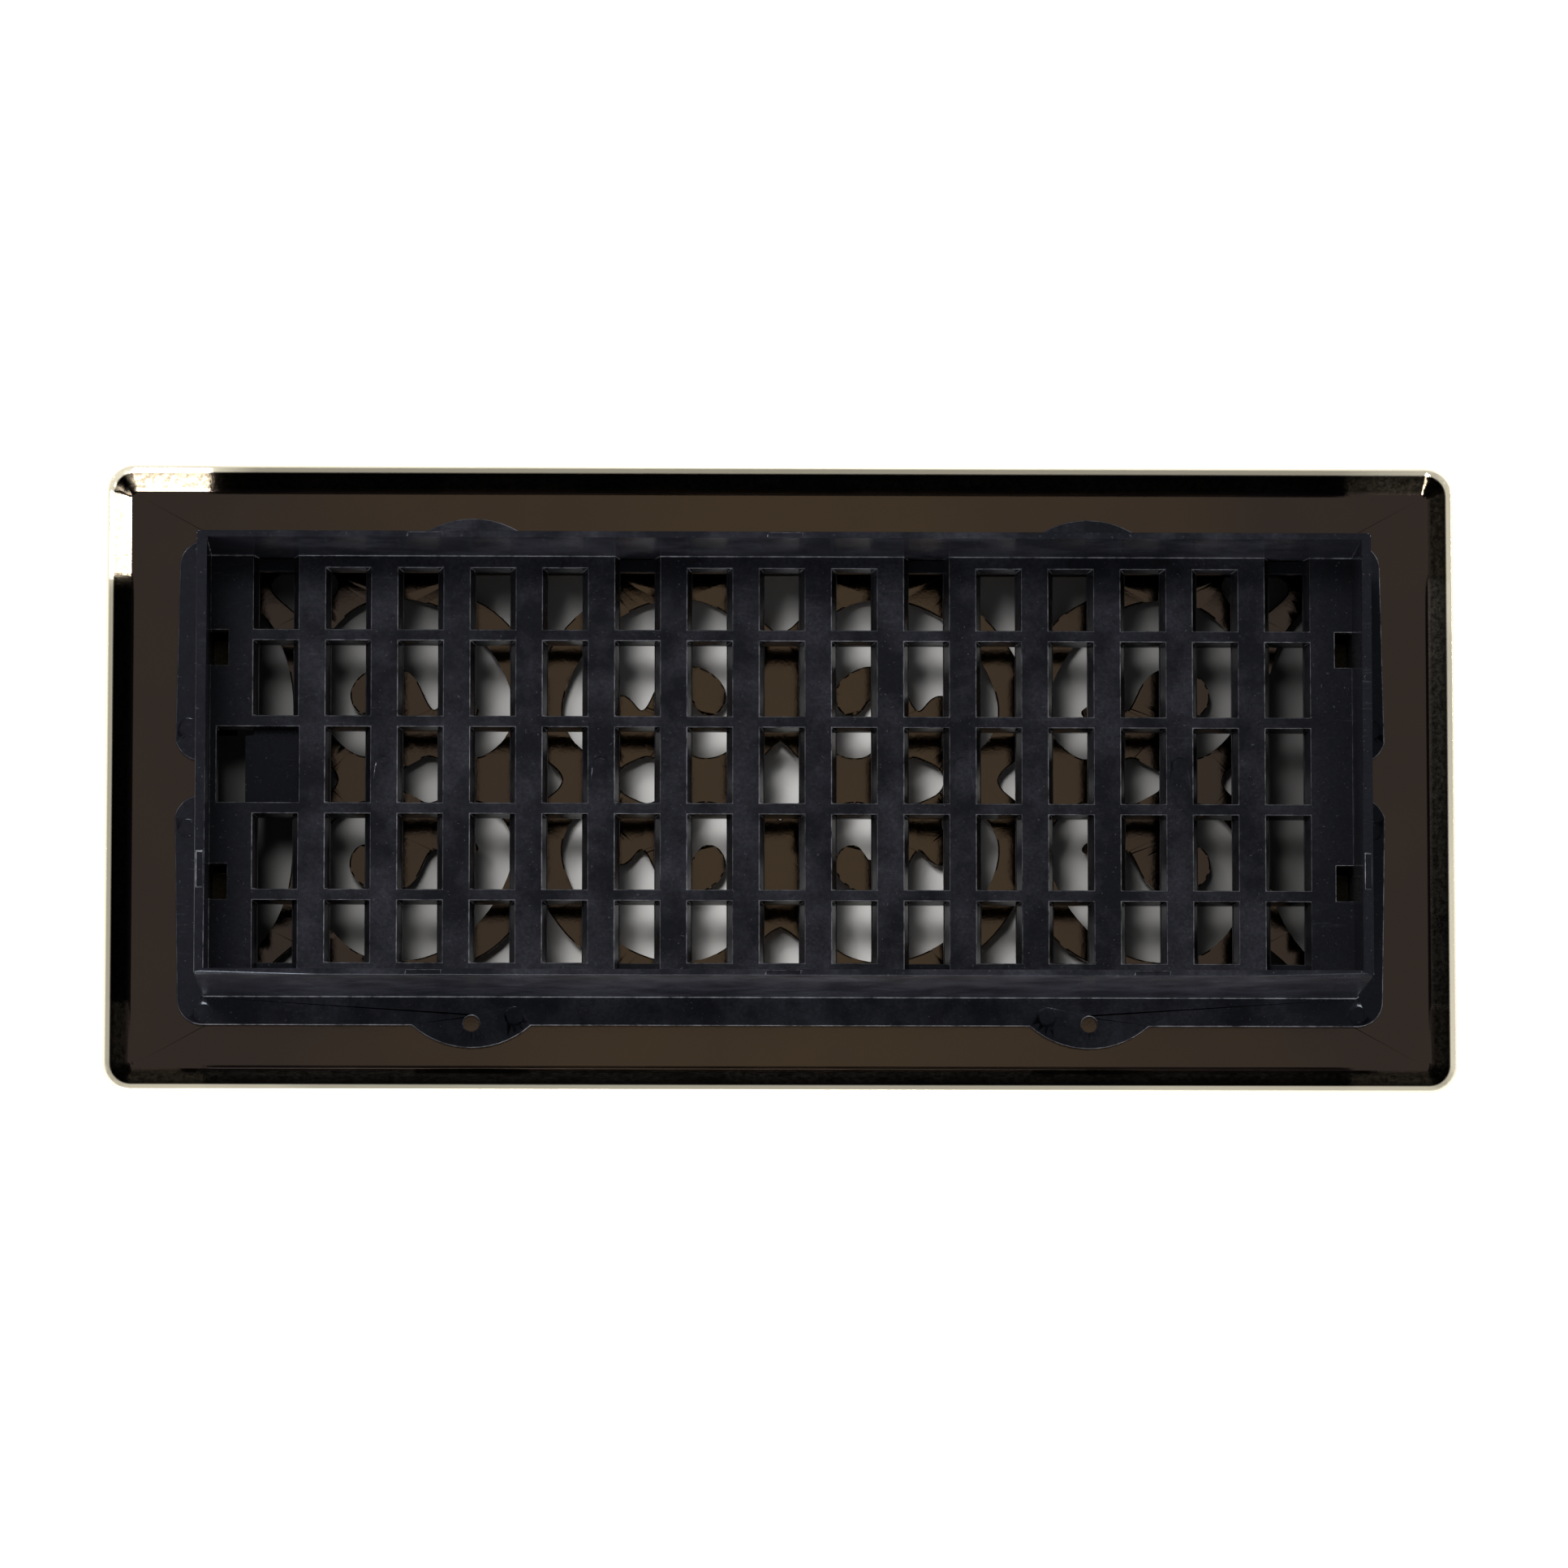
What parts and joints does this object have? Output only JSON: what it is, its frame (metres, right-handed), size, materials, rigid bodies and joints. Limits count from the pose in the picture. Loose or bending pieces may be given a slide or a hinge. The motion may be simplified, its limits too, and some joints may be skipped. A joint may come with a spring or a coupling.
{
  "type": "floor register with sliding damper",
  "caption": "Drop-in floor air register: pressed steel plate with pierced scrolls and a bevelled rim, on a moulded damper box with a window grid and a lever-worked slide plate.",
  "frame": {"origin": "centre of the long and short sides, at the height of the thumb lever's tip, the lowest point of the part lying face down", "axes": "+Z from the decorative face towards the duct, +X along the long side with the lever at the -X end, +Y across"},
  "size_m": [0.2922, 0.1362, 0.0503],
  "materials": {
    "plated_steel": "dark bronze plating, satin field and bright bevel",
    "black_plastic": "satin black moulding with worn edges",
    "slide_plastic": "satin black moulding",
    "lever_plastic": "dark bronze coated",
    "tab_steel": "bronze plated strip"
  },
  "bodies": {
    "register": {"faceplate": "plated_steel", "damper_box": "black_plastic", "retaining_tab_1": "tab_steel", "retaining_tab_2": "tab_steel", "retaining_tab_3": "tab_steel", "retaining_tab_4": "tab_steel"},
    "damper": {"slide_plate": "slide_plastic", "thumb_lever": "lever_plastic"}
  },
  "joints": [
    {"name": "damper_slide", "type": "slide", "parent": "register", "child": "damper", "axis": [-1, 0, 0], "range_m": [0, 0.0074]}
  ]
}
